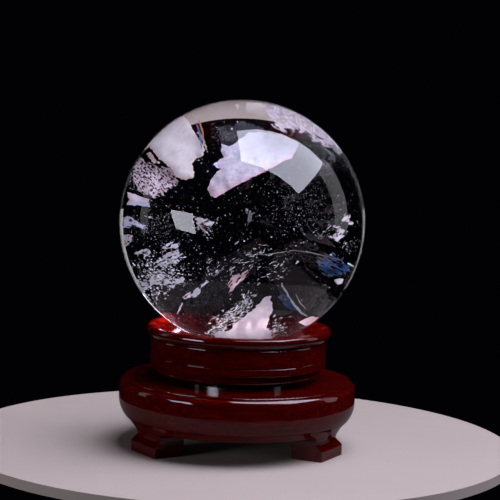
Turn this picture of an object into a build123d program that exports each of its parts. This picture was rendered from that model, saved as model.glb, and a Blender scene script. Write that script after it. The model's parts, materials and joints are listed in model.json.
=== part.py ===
from build123d import *
from math import cos, floor, pi, radians, sin, sqrt
import os

# A rock crystal ball on a two-tier turned rosewood stand. The upper tier, a dished cup, turns on
# a ball thrust bearing let into the lower tier, and a shoulder bolt holds the two tiers together.
# Millimetres, +Z up. The origin is on the surface that the stand rests on, under the ball's
# centre. The front is towards -Y, between two of the three legs.

# Overall sizes
ball_diameter = 100.0
cup_diameter = 72.0            # wall of the upper tier
disc_diameter = 96.8           # widest part of the lower tier
leg_height = 13.0              # resting surface to the underside of the disc
disc_thickness = 15.2
tier_gap = 2.8                 # open gap between the two tiers
cup_height = 19.0
ball_sink = 7.8                # the ball's lowest point lies this far below the cup's crest

# Fits and clearances
seat_clearance = 0.3           # ball to seat
running_clearance = 0.05       # turning shaft in its bush, radial
groove_clearance = 0.08        # bearing balls to races
fit_clearance = 0.1            # races, washers and plug in their recesses, radial
well_clearance = 0.6           # around the bolt's and the nut's washers, radial
press_clearance = 0.02         # bush and brads in the wood
glue_gap = 0.05                # dowels in their holes, radial
end_play = 0.2                 # the cup can lift this far before the washer stops it

# Cup, outside
foot_inset = 2.0               # the foot band stands in from the wall
foot_height = 3.3
foot_round = 0.8
wall_round = 0.5               # under edge of the wall
score_height = 6.7             # turned line above the cup's underside
score_depth = 0.35
neck_inset = 0.8
neck_below_crest = 4.7
wall_below_crest = 5.5
lip_overhang = 1.8             # the lip stands out from the wall
lip_belly = 1.8                # from the lip's widest line up to its crest

# Cup, dish
dish_edge_inset = 2.6          # inner edge of the lip to wall, radial
dish_edge_drop = 1.0
shelf_width = 8.4              # from the inner edge of the lip to the conical seat
seat_width = 6.5               # the conical band that carries the ball, measured along the radius
floor_below_ball = 1.2
bowl_slope_run = 6.5

# Turning parts on the centre line
plug_radius = 9.9
plug_thickness = 1.5
plug_chamfer = 0.3
plug_to_head = 0.3
head_radius = 6.5
head_height = 2.2
socket_across_flats = 4.0
socket_depth = 1.5
washer_radius = 8.0
head_washer_thickness = 0.8
shoulder_washer_thickness = 1.2
nut_washer_thickness = 1.6
nut_washer_radius = 9.0
shoulder_radius = 4.0
thread_radius = 3.0
thread_chamfer = 0.5
thread_past_nut = 1.5
bush_wall = 1.95
flange_thickness = 1.0
nut_across_flats = 10.0
nut_height = 6.0
nut_round = 0.6
collar_height = 1.8            # nylon locking ring in the nut
collar_wall = 1.2
nut_recess_depth = 2.5

# Thrust bearing
bearing_radius = 21.0
bearing_bore_radius = 12.5
housing_race_bore_extra = 0.5  # the lower race's bore clears the cup's spigot
race_thickness = 3.3
groove_depth = 0.8
bearing_ball_radius = 3.0
ball_pitch_share = 1.4         # spacing of the balls, in ball diameters
cage_thickness = 2.2
cage_side_gap = 0.5
pocket_clearance = 0.1
register_depth = 1.5           # how far the upper race is let into the cup
spigot_below_cup = 3.5         # the cup's spigot centres the upper race and holds the bush

# Disc
bead_radius = 0.35
bead_inset = 2.2               # centre of the edge bead to the widest part
quirk_depth = 0.65
quirk_width = 0.2
shoulder_inset = 1.45
shoulder_height = 3.2          # widest part up to the top face
belly_height = 7.0             # underside up to the widest part
disc_under_inset = 2.1
under_chamfer = 0.4

# Legs and apron
leg_count = 3
back_leg_azimuth = 90.0
apron_depth = 3.1
apron_top_inset = 0.3          # apron to the disc's under edge
apron_low_inset = 5.1          # apron's lower edge to the disc's widest part
apron_width = 9.3
apron_chamfer = 0.3
leg_width = 19.4
ear_radius = 2.0               # the leg curves out into the apron
ear_flat = 0.6                 # the ear runs level for this far before it meets the apron
leg_depth = 13.4
ankle_inset = 6.8              # leg's face above the toe to the disc's widest part
ankle_height = 6.0
toe_inset = 4.5                # toe's face to the disc's widest part
toe_height = 4.2
toe_round = 0.5

# Dowels and brads
dowel_radius = 2.0
dowel_spacing = 10.0
dowel_in_leg = 7.0
dowel_in_disc = 8.0
dowel_end_gap = 0.3
dowel_chamfer = 0.4
brad_radius = 0.6
brad_head_radius = 1.1
brad_head_height = 0.5
brad_length = 10.0
brad_spread = 30.0             # degrees between the two brads of an apron

# Radii from the centre line
ball_radius = ball_diameter / 2
wall_radius = cup_diameter / 2
foot_radius = wall_radius - foot_inset
neck_radius = wall_radius - neck_inset
lip_radius = wall_radius + lip_overhang
crest_radius = wall_radius      # the lip is highest straight above the wall
dish_edge_radius = wall_radius - dish_edge_inset
seat_outer_radius = dish_edge_radius - shelf_width
seat_inner_radius = seat_outer_radius - seat_width
seat_ring_radius = (seat_outer_radius + seat_inner_radius) / 2
disc_radius = disc_diameter / 2
disc_under_radius = disc_radius - disc_under_inset
apron_top_radius = disc_under_radius - apron_top_inset
apron_low_radius = disc_radius - apron_low_inset
apron_inner_radius = apron_low_radius - apron_width
ankle_radius = disc_radius - ankle_inset
toe_face = disc_radius - toe_inset
leg_inner_face = toe_face - leg_depth
bush_radius = shoulder_radius + running_clearance + bush_wall
bolt_well_radius = washer_radius + well_clearance
ball_pitch_radius = (bearing_radius + bearing_bore_radius) / 2
dowel_circle = (leg_inner_face + ankle_radius) / 2
brad_circle = (apron_inner_radius + apron_low_radius) / 2
ear_half_width = leg_width / 2 + ear_radius + ear_flat

# Heights above the resting surface
disc_top = leg_height + disc_thickness
cup_bottom = disc_top + tier_gap
foot_top = cup_bottom + foot_height
score_z = cup_bottom + score_height
crest = cup_bottom + cup_height
wall_top = crest - wall_below_crest
neck_z = crest - neck_below_crest
lip_widest_z = crest - lip_belly
dish_edge_z = crest - dish_edge_drop
ball_bottom = crest - ball_sink
ball_z = ball_bottom + ball_radius
dish_floor = ball_bottom - floor_below_ball
plug_bottom = dish_floor - plug_thickness
head_top = plug_bottom - plug_to_head
head_bottom = head_top - head_height
flange_top = head_bottom - head_washer_thickness - end_play
flange_bottom = flange_top - flange_thickness
register_top = cup_bottom + register_depth
spigot_bottom = cup_bottom - spigot_below_cup
race_half_gap = bearing_ball_radius + groove_clearance - groove_depth
bearing_floor = register_top - 2 * race_thickness - 2 * race_half_gap
bearing_mid = register_top - race_thickness - race_half_gap
shoulder_bottom = bearing_floor + shoulder_washer_thickness
nut_recess_top = leg_height + nut_recess_depth
nut_top = nut_recess_top - nut_washer_thickness
nut_bottom = nut_top - nut_height
bolt_end = nut_bottom - thread_past_nut
apron_bottom = leg_height - apron_depth
collar_radius = thread_radius + collar_wall
bearing_ball_count = floor(pi * ball_pitch_radius / (ball_pitch_share * bearing_ball_radius))

bead_outer_radius = disc_radius - bead_inset + bead_radius
arris_radius = disc_radius - shoulder_inset
quirk_z = disc_top - bead_radius - quirk_depth
arris_z = quirk_z + quirk_width
shoulder_z = disc_top - shoulder_height
belly_z = leg_height + belly_height

leg_azimuths = [back_leg_azimuth + i * 360 / leg_count for i in range(leg_count)]
apron_azimuths = [azimuth + 180 / leg_count for azimuth in leg_azimuths]
leg_names = ["leg_back", "leg_front_left", "leg_front_right"]
apron_names = ["apron_left", "apron_front", "apron_right"]


def radial_plane(azimuth):
    """Upright plane through the centre line: x is the radius, y is the height."""
    a = radians(azimuth)
    return Plane(origin=(0, 0, 0), x_dir=(cos(a), sin(a), 0), z_dir=(sin(a), -cos(a), 0))


def facing_plane(azimuth, distance):
    """Upright plane across the radius, looking outwards: y is the height."""
    a = radians(azimuth)
    outwards = (cos(a), sin(a), 0)
    return Plane(
        origin=(distance * cos(a), distance * sin(a), 0), x_dir=(-sin(a), cos(a), 0), z_dir=outwards
    )


def around(azimuth, radius, sideways=0.0):
    """The x and y of a point at this azimuth and radius, moved sideways across the radius."""
    a = radians(azimuth)
    return (radius * cos(a) - sideways * sin(a), radius * sin(a) + sideways * cos(a))


def on_seat(radius):
    """Height of the conical seat, which is parallel to the ball's surface at the seat ring."""
    rise = sqrt(ball_radius**2 - seat_ring_radius**2)
    slope = seat_ring_radius / rise
    reach = 1 + seat_clearance / ball_radius
    return ball_z - rise * reach + slope * (radius - seat_ring_radius * reach)


def washer(bore, radius, bottom, thickness):
    """A flat ring lying level, with its underside at the given height."""
    with BuildPart(Plane.XY.offset(bottom)) as ring:
        Cylinder(radius, thickness, align=(Align.CENTER, Align.CENTER, Align.MIN))
        Hole(bore)
    return ring


def race(bore, bottom):
    """A bearing race with its ball groove, which is centred on the ring of balls."""
    with BuildPart() as ring:
        with BuildSketch(Plane.XZ):
            with Locations((bore, bottom)):
                Rectangle(bearing_radius - bore, race_thickness, align=(Align.MIN, Align.MIN))
            with Locations((ball_pitch_radius, bearing_mid)):
                Circle(bearing_ball_radius + groove_clearance, mode=Mode.SUBTRACT)
        revolve(axis=Axis.Z)
    return ring


def dowel_points(azimuth):
    """The two dowels of a leg, side by side."""
    return [around(azimuth, dowel_circle, side * dowel_spacing / 2) for side in (-1, 1)]


def brad_points(azimuth):
    """The two brads of an apron."""
    return [around(azimuth + side * brad_spread / 2, brad_circle) for side in (-1, 1)]


def turned_outline():
    """Half section of the turned face under the disc: radius is x, height is y."""
    with BuildSketch() as outline:
        with BuildLine():
            ThreePointArc(
                (ankle_radius, ankle_height),
                (apron_low_radius, apron_bottom),
                (apron_top_radius, leg_height),
            )
            Polyline(
                (apron_top_radius, leg_height), (0, leg_height), (0, 0), (ankle_radius, 0),
                (ankle_radius, ankle_height),
            )
        make_face()
    return outline.sketch


def leg_elevation():
    """The leg seen from outside, with the ears that curve out to the aprons."""
    half = leg_width / 2
    ear_low = apron_bottom - ear_radius
    with BuildSketch() as elevation:
        with BuildLine():
            Polyline((-half, ear_low), (-half, 0), (half, 0), (half, ear_low))
            CenterArc((half + ear_radius, ear_low), ear_radius, 90, 90)
            CenterArc((-half - ear_radius, ear_low), ear_radius, 0, 90)
            Polyline(
                (half + ear_radius, apron_bottom), (ear_half_width, apron_bottom),
                (ear_half_width, leg_height), (-ear_half_width, leg_height),
                (-ear_half_width, apron_bottom), (-half - ear_radius, apron_bottom),
            )
        make_face()
    return elevation.sketch


def toe_outline():
    """The toe seen from its side. Its bevel runs on inwards until the turned face covers it."""
    bevel_slope = (ankle_height - toe_height) / (toe_face - ankle_radius)
    covered = sqrt(ankle_radius**2 - (leg_width / 2) ** 2)
    bevel_top = toe_height + bevel_slope * (toe_face - covered)
    return [
        (leg_inner_face, 0), (toe_face, 0), (toe_face, toe_height),
        (covered, bevel_top), (leg_inner_face, bevel_top),
    ]


def toe_edges(leg, azimuth):
    """The edges of the toe's flat face, apart from the one that it stands on."""
    outwards = Axis((0, 0, 0), (*around(azimuth, 1), 0))
    front = leg.faces().filter_by(outwards).sort_by(outwards)[-1]
    return front.edges().sort_by(Axis.Z)[1:]


def make_leg(azimuth):
    """A leg with a turned face, a flat bevelled toe and two dowel holes in its top."""
    with BuildPart() as leg:
        with BuildSketch(facing_plane(azimuth, leg_inner_face)):
            add(leg_elevation())
        extrude(amount=disc_radius)
        with BuildSketch(radial_plane(azimuth)):
            add(turned_outline())
        revolve(axis=Axis.Z, mode=Mode.INTERSECT)
        with BuildSketch(radial_plane(azimuth)):
            Polygon(*toe_outline(), align=None)
        extrude(amount=leg_width / 2, both=True)
        fillet(toe_edges(leg, azimuth), toe_round)
        with Locations(*[(x, y, leg_height) for x, y in dowel_points(azimuth)]):
            Hole(dowel_radius + glue_gap, depth=dowel_in_leg + dowel_end_gap)
    return leg


def make_apron(azimuth):
    """A turned apron between two legs, with holes for its brads."""
    half_turn = 180 / leg_count
    with BuildPart() as apron:
        with BuildSketch(radial_plane(azimuth - half_turn)):
            add(turned_outline())
            with Locations((apron_inner_radius, apron_bottom)):
                Rectangle(disc_radius, apron_depth, align=(Align.MIN, Align.MIN), mode=Mode.INTERSECT)
            chamfer(vertices().group_by(Axis.Y)[0], apron_chamfer)
        revolve(axis=Axis.Z, revolution_arc=2 * half_turn)
        for side in (-1, 1):
            with BuildSketch(facing_plane(azimuth + side * half_turn, 0)):
                Rectangle(2 * ear_half_width, leg_height, align=(Align.CENTER, Align.MIN))
            extrude(amount=disc_radius, mode=Mode.SUBTRACT)
        for x, y in brad_points(azimuth):
            with Locations(Plane((x, y, apron_bottom), z_dir=(0, 0, -1))):
                CounterBoreHole(
                    brad_radius + press_clearance, brad_head_radius + press_clearance, brad_head_height
                )
    return apron


# The ball
with BuildPart() as crystal_ball:
    with Locations((0, 0, ball_z)):
        Sphere(ball_radius)

# The cup: the upper tier, with its dish above and the bearing's register and spigot below
with BuildPart() as seat_cup:
    with BuildSketch(Plane.XZ):
        with BuildLine():
            Polyline(
                (bush_radius + press_clearance, flange_bottom),
                (bush_radius + press_clearance, spigot_bottom),
                (bearing_bore_radius - fit_clearance, spigot_bottom),
                (bearing_bore_radius - fit_clearance, register_top),
                (bearing_radius + fit_clearance, register_top),
                (bearing_radius + fit_clearance, cup_bottom),
                (foot_radius - foot_round, cup_bottom),
            )
            TangentArc(
                (foot_radius - foot_round, cup_bottom), (foot_radius, cup_bottom + foot_round),
                tangent=(1, 0),
            )
            Polyline(
                (foot_radius, cup_bottom + foot_round), (foot_radius, foot_top),
                (wall_radius - wall_round, foot_top),
            )
            TangentArc(
                (wall_radius - wall_round, foot_top), (wall_radius, foot_top + wall_round),
                tangent=(1, 0),
            )
            Polyline(
                (wall_radius, foot_top + wall_round), (wall_radius, score_z - score_depth),
                (wall_radius - score_depth, score_z), (wall_radius, score_z + score_depth),
                (wall_radius, wall_top),
            )
            TangentArc((wall_radius, wall_top), (neck_radius, neck_z), tangent=(0, 1))
            TangentArc((lip_radius, lip_widest_z), (neck_radius, neck_z), tangent=(0, -1))
            TangentArc((lip_radius, lip_widest_z), (crest_radius, crest), tangent=(0, 1))
            TangentArc((crest_radius, crest), (dish_edge_radius, dish_edge_z), tangent=(-1, 0))
            Polyline(
                (dish_edge_radius, dish_edge_z),
                (seat_outer_radius, on_seat(seat_outer_radius)),
                (seat_inner_radius, on_seat(seat_inner_radius)),
                (seat_inner_radius - bowl_slope_run, dish_floor),
                (plug_radius + fit_clearance, dish_floor),
                (plug_radius + fit_clearance, plug_bottom),
                (bolt_well_radius, plug_bottom),
                (bolt_well_radius, flange_bottom),
                (bush_radius + press_clearance, flange_bottom),
            )
        make_face()
    revolve(axis=Axis.Z)

# The plug that hides the bolt's head at the bottom of the dish
with BuildPart(Plane.XY.offset(plug_bottom)) as seat_plug:
    Cylinder(plug_radius, plug_thickness, align=(Align.CENTER, Align.CENTER, Align.MIN))
    chamfer(seat_plug.edges().group_by(Axis.Z)[-1], plug_chamfer)

# The flanged bush in the cup
with BuildPart() as pivot_bush:
    with BuildSketch(Plane.XZ):
        with Locations((shoulder_radius + running_clearance, spigot_bottom)):
            Rectangle(bush_wall, flange_top - spigot_bottom, align=(Align.MIN, Align.MIN))
        with Locations((shoulder_radius + running_clearance, flange_bottom)):
            Rectangle(
                washer_radius - shoulder_radius - running_clearance, flange_thickness,
                align=(Align.MIN, Align.MIN),
            )
    revolve(axis=Axis.Z)

# The shoulder bolt, with its hexagon socket
with BuildPart() as pivot_bolt:
    with BuildSketch(Plane.XZ):
        with BuildLine():
            Polyline(
                (0, bolt_end), (thread_radius - thread_chamfer, bolt_end),
                (thread_radius, bolt_end + thread_chamfer), (thread_radius, shoulder_bottom),
                (shoulder_radius, shoulder_bottom), (shoulder_radius, head_bottom),
                (head_radius, head_bottom), (head_radius, head_top), (0, head_top), (0, bolt_end),
            )
        make_face()
    revolve(axis=Axis.Z)
    fillet(pivot_bolt.edges().group_by(Axis.Z)[-1], thread_chamfer)
    with BuildSketch(Plane.XY.offset(head_top)):
        RegularPolygon(socket_across_flats / 2, 6, major_radius=False)
    extrude(amount=-socket_depth, mode=Mode.SUBTRACT)

head_washer = washer(
    shoulder_radius + fit_clearance, washer_radius, head_bottom - head_washer_thickness,
    head_washer_thickness,
)
shoulder_washer = washer(
    thread_radius + fit_clearance, washer_radius, bearing_floor, shoulder_washer_thickness
)
nut_washer = washer(thread_radius + fit_clearance, nut_washer_radius, nut_top, nut_washer_thickness)

# The lock nut, and the nylon ring in its lower end
with BuildPart() as lock_nut:
    with BuildSketch(Plane.XY.offset(nut_bottom)):
        RegularPolygon(nut_across_flats / 2, 6, major_radius=False)
    extrude(amount=nut_height)
    with BuildSketch(Plane.XZ):
        with BuildLine():
            Polyline(
                (0, nut_bottom), (nut_across_flats / 2 - nut_round, nut_bottom),
                (nut_across_flats / 2 + nut_round, nut_bottom + nut_round),
                (nut_across_flats / 2 + nut_round, nut_top), (0, nut_top), (0, nut_bottom),
            )
        make_face()
    revolve(axis=Axis.Z, mode=Mode.INTERSECT)
    with Locations((0, 0, nut_bottom)):
        Hole(collar_radius, depth=collar_height)
    Hole(thread_radius + press_clearance)

lock_nut_collar = washer(
    thread_radius + press_clearance, collar_radius - press_clearance, nut_bottom, collar_height
)

# The thrust bearing
bearing_upper_race = race(bearing_bore_radius, register_top - race_thickness)
bearing_lower_race = race(bearing_bore_radius + housing_race_bore_extra, bearing_floor)

with BuildPart() as bearing_balls:
    with Locations((0, 0, bearing_mid)):
        with PolarLocations(ball_pitch_radius, bearing_ball_count):
            Sphere(bearing_ball_radius)

with BuildPart(Plane.XY.offset(bearing_mid)) as bearing_cage:
    Cylinder(bearing_radius + fit_clearance - cage_side_gap, cage_thickness)
    Hole(bearing_bore_radius - fit_clearance + cage_side_gap)
    with PolarLocations(ball_pitch_radius, bearing_ball_count):
        Hole(bearing_ball_radius + pocket_clearance)

# The disc: the lower tier, with the bearing's recess above and the nut's recess below
with BuildPart() as base_disc:
    with BuildSketch(Plane.XZ):
        with BuildLine():
            Polyline(
                (0, disc_top), (0, leg_height), (disc_under_radius - under_chamfer, leg_height),
                (disc_under_radius, leg_height + under_chamfer),
            )
            TangentArc(
                (disc_radius, belly_z), (disc_under_radius, leg_height + under_chamfer),
                tangent=(0, -1),
            )
            Line((disc_radius, belly_z), (disc_radius, shoulder_z))
            TangentArc((disc_radius, shoulder_z), (arris_radius, arris_z), tangent=(0, 1))
            Polyline(
                (arris_radius, arris_z), (arris_radius - quirk_width, quirk_z),
                (bead_outer_radius, quirk_z), (bead_outer_radius, disc_top - bead_radius),
            )
            TangentArc(
                (bead_outer_radius, disc_top - bead_radius),
                (bead_outer_radius - bead_radius, disc_top), tangent=(0, 1),
            )
            Line((bead_outer_radius - bead_radius, disc_top), (0, disc_top))
        make_face()
    revolve(axis=Axis.Z)
    with Locations((0, 0, disc_top)):
        Hole(bearing_radius + fit_clearance, depth=disc_top - bearing_floor)
    Hole(thread_radius + fit_clearance)
    with Locations((0, 0, leg_height)):
        Hole(nut_washer_radius + well_clearance, depth=nut_recess_depth)
    for azimuth in leg_azimuths:
        with Locations(*[(x, y, leg_height) for x, y in dowel_points(azimuth)]):
            Hole(dowel_radius + glue_gap, depth=dowel_in_disc + dowel_end_gap)
    for azimuth in apron_azimuths:
        with Locations(*[(x, y, leg_height) for x, y in brad_points(azimuth)]):
            Hole(brad_radius + press_clearance, depth=brad_length - apron_depth)

# Dowels of the legs and brads of the aprons
with BuildPart() as leg_dowels:
    for azimuth in leg_azimuths:
        with Locations(*[(x, y, leg_height - dowel_in_leg) for x, y in dowel_points(azimuth)]):
            Cylinder(
                dowel_radius, dowel_in_leg + dowel_in_disc,
                align=(Align.CENTER, Align.CENTER, Align.MIN),
            )
    chamfer(leg_dowels.edges().filter_by(GeomType.CIRCLE), dowel_chamfer)

with BuildPart() as apron_brads:
    for azimuth in apron_azimuths:
        with Locations(*[(x, y, apron_bottom) for x, y in brad_points(azimuth)]):
            Cylinder(brad_head_radius, brad_head_height, align=(Align.CENTER, Align.CENTER, Align.MIN))
            Cylinder(brad_radius, brad_length, align=(Align.CENTER, Align.CENTER, Align.MIN))

pieces = {
    "crystal_ball": crystal_ball,
    "seat_cup": seat_cup,
    "seat_plug": seat_plug,
    "pivot_bush": pivot_bush,
    "pivot_bolt": pivot_bolt,
    "head_washer": head_washer,
    "shoulder_washer": shoulder_washer,
    "nut_washer": nut_washer,
    "lock_nut": lock_nut,
    "lock_nut_collar": lock_nut_collar,
    "bearing_upper_race": bearing_upper_race,
    "bearing_lower_race": bearing_lower_race,
    "bearing_cage": bearing_cage,
    "bearing_balls": bearing_balls,
    "base_disc": base_disc,
    "leg_dowels": leg_dowels,
    "apron_brads": apron_brads,
}
for name, azimuth in zip(leg_names, leg_azimuths):
    pieces[name] = make_leg(azimuth)
for name, azimuth in zip(apron_names, apron_azimuths):
    pieces[name] = make_apron(azimuth)

os.makedirs("parts", exist_ok=True)
for name, piece in pieces.items():
    piece.part.label = name
    export_step(piece.part, f"parts/{name}.step")
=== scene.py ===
import bmesh
import bpy
import json
import math
import random
from mathutils import Matrix, Vector, noise


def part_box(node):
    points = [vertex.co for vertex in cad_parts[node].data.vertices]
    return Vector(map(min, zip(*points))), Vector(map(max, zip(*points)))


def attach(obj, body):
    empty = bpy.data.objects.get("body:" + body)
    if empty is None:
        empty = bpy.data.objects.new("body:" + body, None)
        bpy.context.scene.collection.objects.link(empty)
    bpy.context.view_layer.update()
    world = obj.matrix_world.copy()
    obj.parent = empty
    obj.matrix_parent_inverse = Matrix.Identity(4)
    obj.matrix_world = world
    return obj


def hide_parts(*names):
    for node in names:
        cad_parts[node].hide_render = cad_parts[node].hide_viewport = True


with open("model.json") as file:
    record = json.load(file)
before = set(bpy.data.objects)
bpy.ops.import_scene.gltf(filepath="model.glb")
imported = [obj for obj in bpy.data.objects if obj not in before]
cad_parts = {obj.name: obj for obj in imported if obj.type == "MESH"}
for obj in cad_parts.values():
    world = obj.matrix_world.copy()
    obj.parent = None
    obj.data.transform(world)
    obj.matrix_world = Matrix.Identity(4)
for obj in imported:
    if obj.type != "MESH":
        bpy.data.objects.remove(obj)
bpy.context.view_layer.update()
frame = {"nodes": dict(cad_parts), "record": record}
nodes = frame["nodes"]
mm = 0.001
ballLow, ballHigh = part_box("crystal_ball")
ballCentre = Vector((0, 0, (ballLow.z + ballHigh.z) / 2))
ballRadius = min(-ballLow.x, -ballLow.y, ballHigh.x, ballHigh.y)
print("frame loaded")


def deselectAll():
    if bpy.context.object and bpy.context.object.mode != "OBJECT":
        bpy.ops.object.mode_set(mode="OBJECT")
    bpy.ops.object.select_all(action="DESELECT")


def makeActive(obj):
    deselectAll()
    obj.select_set(True)
    bpy.context.view_layer.objects.active = obj


def newMaterial(name):
    mat = bpy.data.materials.new(name)
    mat.use_nodes = True
    tree = mat.node_tree
    shader = next(n for n in tree.nodes if n.type == "BSDF_PRINCIPLED")
    return mat, tree, shader


def node(tree, kind, **values):
    made = tree.nodes.new(kind)
    for key, value in values.items():
        if key in made.inputs:
            made.inputs[key].default_value = value
        else:
            setattr(made, key, value)
    return made


def mapped(tree, scale, turn=(0, 0, 0)):  # object coordinates, stretched and turned
    place = node(tree, "ShaderNodeTexCoord")
    move = node(tree, "ShaderNodeMapping")
    move.inputs["Scale"].default_value = scale
    move.inputs["Rotation"].default_value = [math.radians(t) for t in turn]
    tree.links.new(place.outputs["Object"], move.inputs["Vector"])
    return move.outputs["Vector"]


def noiseOn(tree, vector, scale, detail=4.0, roughness=0.55, distortion=0.0):
    made = node(tree, "ShaderNodeTexNoise")
    made.inputs["Scale"].default_value = scale
    made.inputs["Detail"].default_value = detail
    made.inputs["Roughness"].default_value = roughness
    made.inputs["Distortion"].default_value = distortion
    tree.links.new(vector, made.inputs["Vector"])
    return made.outputs["Fac"]


def ramp(tree, value, stops):
    made = node(tree, "ShaderNodeValToRGB")
    marks = made.color_ramp.elements
    while len(marks) < len(stops):
        marks.new(0.5)
    for mark, (place, colour) in zip(marks, stops):
        mark.position = place
        mark.color = (*colour, 1)
    tree.links.new(value, made.inputs["Fac"])
    return made.outputs["Color"]


def grey(level):
    return (level, level, level)


def bumpFrom(tree, heights, distance):  # heights is a list of (value, strength)
    normal = None
    for value, strength in heights:
        made = node(tree, "ShaderNodeBump")
        made.inputs["Strength"].default_value = strength
        made.inputs["Distance"].default_value = distance
        tree.links.new(value, made.inputs["Height"])
        if normal:
            tree.links.new(normal, made.inputs["Normal"])
        normal = made.outputs["Normal"]
    return normal


camera = {
    "turn": -2.6,        # degrees round from the front, towards -X
    "pitch": 6.317,      # looking down
    "roll": -1.831,
    "distance": 0.8,
    "lens": 141.3,
    "aimRight": 3.475 * mm,
    "aimHeight": 81.05 * mm,
}


def viewAxes(turn, pitch, roll):  # right, up and towards the viewer
    t, p, r = math.radians(turn), math.radians(pitch), math.radians(roll)
    level = Vector((math.cos(t), math.sin(t), 0))
    back = Vector((math.sin(t) * math.cos(p), -math.cos(t) * math.cos(p), math.sin(p)))
    rise = back.cross(level)
    right = level * math.cos(r) - rise * math.sin(r)
    up = level * math.sin(r) + rise * math.cos(r)
    return level, right, up, back


def placeCamera():
    level, right, up, back = viewAxes(camera["turn"], camera["pitch"], camera["roll"])
    aim = level * camera["aimRight"] + Vector((0, 0, camera["aimHeight"]))
    data = bpy.data.cameras.new("studioCamera")
    data.sensor_width = 36
    data.lens = camera["lens"]
    data.clip_start = 0.01
    obj = bpy.data.objects.new("studioCamera", data)
    bpy.context.scene.collection.objects.link(obj)
    turned = Matrix((right, up, back)).transposed().to_4x4()
    obj.matrix_world = Matrix.Translation(aim + back * camera["distance"]) @ turned
    bpy.context.scene.camera = obj
    return obj


cameraObject = placeCamera()
toCamera = (cameraObject.matrix_world.translation - ballCentre).normalized()
seenRight = (cameraObject.matrix_world.to_3x3() @ Vector((1, 0, 0))).normalized()
seenUp = toCamera.cross(seenRight).normalized()
print("camera placed")


# A round pale floor in a dark room, with softboxes.
stage = {
    "floorRadius": 116 * mm,
    "floorBack": 11 * mm,     # the floor's middle lies this far behind the stand's
    "floorThickness": 4 * mm,
    "floorColour": (0.43, 0.360, 0.315),
    # how far the floor is darkened where it is seen mirrored: painted shade
    "floorShadeWhenMirrored": 0.25,
    "room": (0.0006, 0.0006, 0.0012),
}
lamps = [
    # places and directions are right, up and towards the viewer from the ball's centre, in metres
    {"name": "key", "at": (0.249, 0.569, 0.185), "along": (0.750, -0.639, -0.171),
     "facing": (0.658, 0.749, 0.082), "size": (0.753, 0.534), "power": 10.0, "colour": (0.80, 0.81, 1.0)},
    {"name": "window", "at": (-0.63, 0.0, 0.44), "along": (0.91, -0.15, 0.38),
     "facing": (-0.20, 0.655, 0.73), "size": (0.35, 0.28), "power": 2.3, "colour": (0.88, 0.88, 1.0)},
    {"name": "rightWall", "at": (0.742, 0.209, -0.164), "along": (0.21, 0.0, 0.98),
     "facing": (0.94, 0.26, -0.21), "size": (0.28, 0.62), "power": 0.45, "colour": (0.95, 0.94, 1.0)},
    {"name": "leftWall", "at": (-0.75, 0.18, -0.14), "along": (0.18, 0.0, -0.98),
     "facing": (-0.95, 0.22, -0.18), "size": (0.16, 0.55), "power": 0.16, "colour": (0.95, 0.94, 1.0)},
]
gathered = {  # light that the ball gathers onto its seat: a ring of small lamps between ball and lip
    "count": 16,
    "radius": 33.5 * mm,
    "height": 52.5 * mm,
    "size": 1.5 * mm,
    "power": 0.0042,
    "brightest": 200,   # degrees round, on the left
    "swing": 0.7,       # share by which the brightest lamp is stronger than the mean
    "colour": (1.0, 0.75, 0.70),
}


def makeFloor():
    deselectAll()
    thickness = stage["floorThickness"]
    bpy.ops.mesh.primitive_circle_add(
        vertices=160, radius=stage["floorRadius"], fill_type="NGON",
        location=(0, stage["floorBack"], -thickness))
    floor = bpy.context.object
    floor.name = "floor"
    bpy.ops.object.mode_set(mode="EDIT")
    bpy.ops.mesh.select_all(action="SELECT")
    bpy.ops.mesh.extrude_region_move(TRANSFORM_OT_translate={"value": (0, 0, thickness)})
    bpy.ops.mesh.select_all(action="SELECT")
    bpy.ops.mesh.normals_make_consistent(inside=False)
    bpy.ops.object.mode_set(mode="OBJECT")
    bpy.ops.object.transform_apply(location=True, rotation=True, scale=True)
    mat, tree, shader = newMaterial("paleFloor")
    fibres = noiseOn(tree, mapped(tree, (1, 1, 1)), 900, 3)
    clouds = noiseOn(tree, mapped(tree, (1, 1, 1)), 25, 2)
    darker = [c * 0.97 for c in stage["floorColour"]]
    tint = ramp(tree, clouds, [(0.3, darker), (0.7, stage["floorColour"])])
    # Painted shade: where the floor is seen mirrored in a glossy surface, and not through glass, its colour
    # is darkened, standing in for the shadow around the stand.
    path = node(tree, "ShaderNodeLightPath")
    mirrored = node(tree, "ShaderNodeMath", operation="SUBTRACT", use_clamp=True)
    tree.links.new(path.outputs["Is Glossy Ray"], mirrored.inputs[0])
    tree.links.new(path.outputs["Is Transmission Ray"], mirrored.inputs[1])
    dimmed = node(tree, "ShaderNodeMix", data_type="RGBA", blend_type="MULTIPLY")
    dimmed.inputs[7].default_value = (*grey(stage["floorShadeWhenMirrored"]), 1)
    tree.links.new(mirrored.outputs[0], dimmed.inputs["Factor"])
    tree.links.new(tint, dimmed.inputs[6])
    tree.links.new(dimmed.outputs[2], shader.inputs["Base Color"])
    tree.links.new(bumpFrom(tree, [(fibres, 0.15)], 0.05 * mm), shader.inputs["Normal"])
    shader.inputs["Roughness"].default_value = 0.75
    floor.data.materials.append(mat)


def makeLamp(lamp):
    def inRoom(v):
        return seenRight * v[0] + seenUp * v[1] + toCamera * v[2]
    facing = inRoom(lamp["facing"]).normalized()
    along = inRoom(lamp["along"])
    along = (along - facing * along.dot(facing)).normalized()
    data = bpy.data.lights.new(lamp["name"], "AREA")
    data.shape = "RECTANGLE"
    data.size, data.size_y = lamp["size"]
    data.energy = lamp["power"]
    data.color = lamp["colour"]
    obj = bpy.data.objects.new(lamp["name"], data)
    bpy.context.scene.collection.objects.link(obj)
    turned = Matrix((along, facing.cross(along), facing)).transposed().to_4x4()
    obj.matrix_world = Matrix.Translation(ballCentre + inRoom(lamp["at"])) @ turned
    obj.visible_camera = False


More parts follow.
